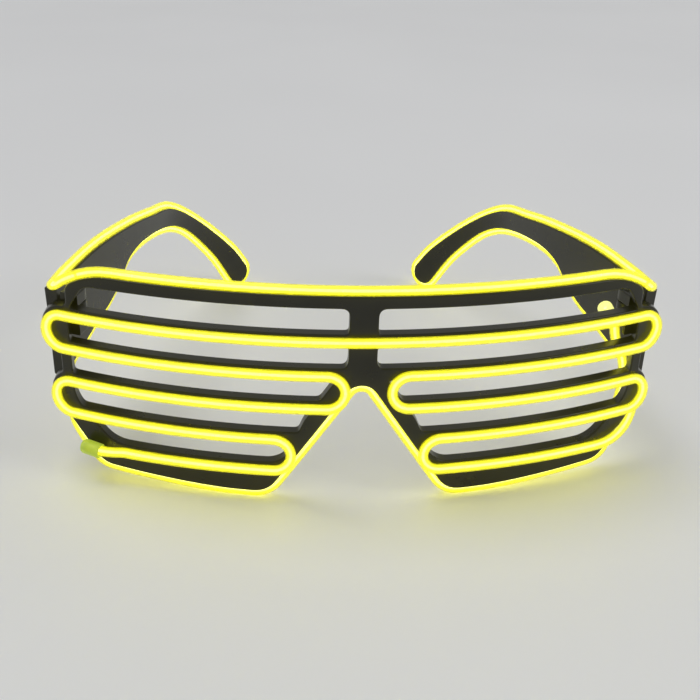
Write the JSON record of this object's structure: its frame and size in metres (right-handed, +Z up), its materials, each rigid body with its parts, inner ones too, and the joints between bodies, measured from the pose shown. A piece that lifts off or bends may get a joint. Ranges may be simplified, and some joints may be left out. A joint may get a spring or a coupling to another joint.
{
  "type": "light up party glasses",
  "caption": "Black shutter glasses with a yellow glowing wire along every bar, under both lenses and round both folding temples",
  "frame": {"origin": "on the table, under the middle of the glasses as they stand open", "axes": "+X to the wearer's left, which is the right of the front as it is seen, +Y from the front to the temple tips, +Z up"},
  "size_m": [0.1504, 0.1408, 0.056],
  "materials": {
    "black_moulding": "smooth black injection moulding",
    "glowing_wire": "smooth clear-yellow sheath, lit from within",
    "pin_steel": "plain bright pin",
    "soft_sleeve": "soft clear shrink sleeve, lit by the wire inside it"
  },
  "bodies": {
    "front": {"front_frame": "black_moulding", "slat_2_left": "black_moulding", "slat_3_left": "black_moulding", "slat_4_left": "black_moulding", "slat_5_left": "black_moulding", "slat_2_right": "black_moulding", "slat_3_right": "black_moulding", "slat_4_right": "black_moulding", "slat_5_right": "black_moulding", "hinge_pin_left": "pin_steel", "hinge_pin_right": "pin_steel", "wire_feed": "glowing_wire", "wire_rim_right": "glowing_wire", "wire_nose": "glowing_wire", "wire_rim_left": "glowing_wire", "wire_riser_left": "glowing_wire", "wire_brow": "glowing_wire", "wire_riser_right": "glowing_wire", "wire_rows": "glowing_wire", "wire_crossing_top_left": "glowing_wire", "wire_crossing_low_left": "glowing_wire", "wire_crossing_top_right": "glowing_wire", "wire_crossing_low_right": "glowing_wire", "end_cap": "soft_sleeve", "feed_sleeve": "soft_sleeve"},
    "left_temple": {"temple_left": "black_moulding", "wire_lower_left": "glowing_wire", "wire_tip_left": "glowing_wire", "wire_upper_left": "glowing_wire"},
    "right_temple": {"temple_right": "black_moulding", "wire_lower_right": "glowing_wire", "wire_tip_right": "glowing_wire", "wire_upper_right": "glowing_wire"}
  },
  "joints": [
    {"name": "left_temple_fold", "type": "hinge", "parent": "front", "child": "left_temple", "pos_m": [-0.0672, -0.0463, 0.0418], "axis": [0, 0, -1], "range_deg": [0, 75], "deforming": ["wire_crossing_top_left", "wire_crossing_low_left"]},
    {"name": "right_temple_fold", "type": "hinge", "parent": "front", "child": "right_temple", "pos_m": [0.0672, -0.0463, 0.0418], "axis": [0, 0, 1], "range_deg": [0, 66], "deforming": ["wire_crossing_top_right", "wire_crossing_low_right"]}
  ]
}
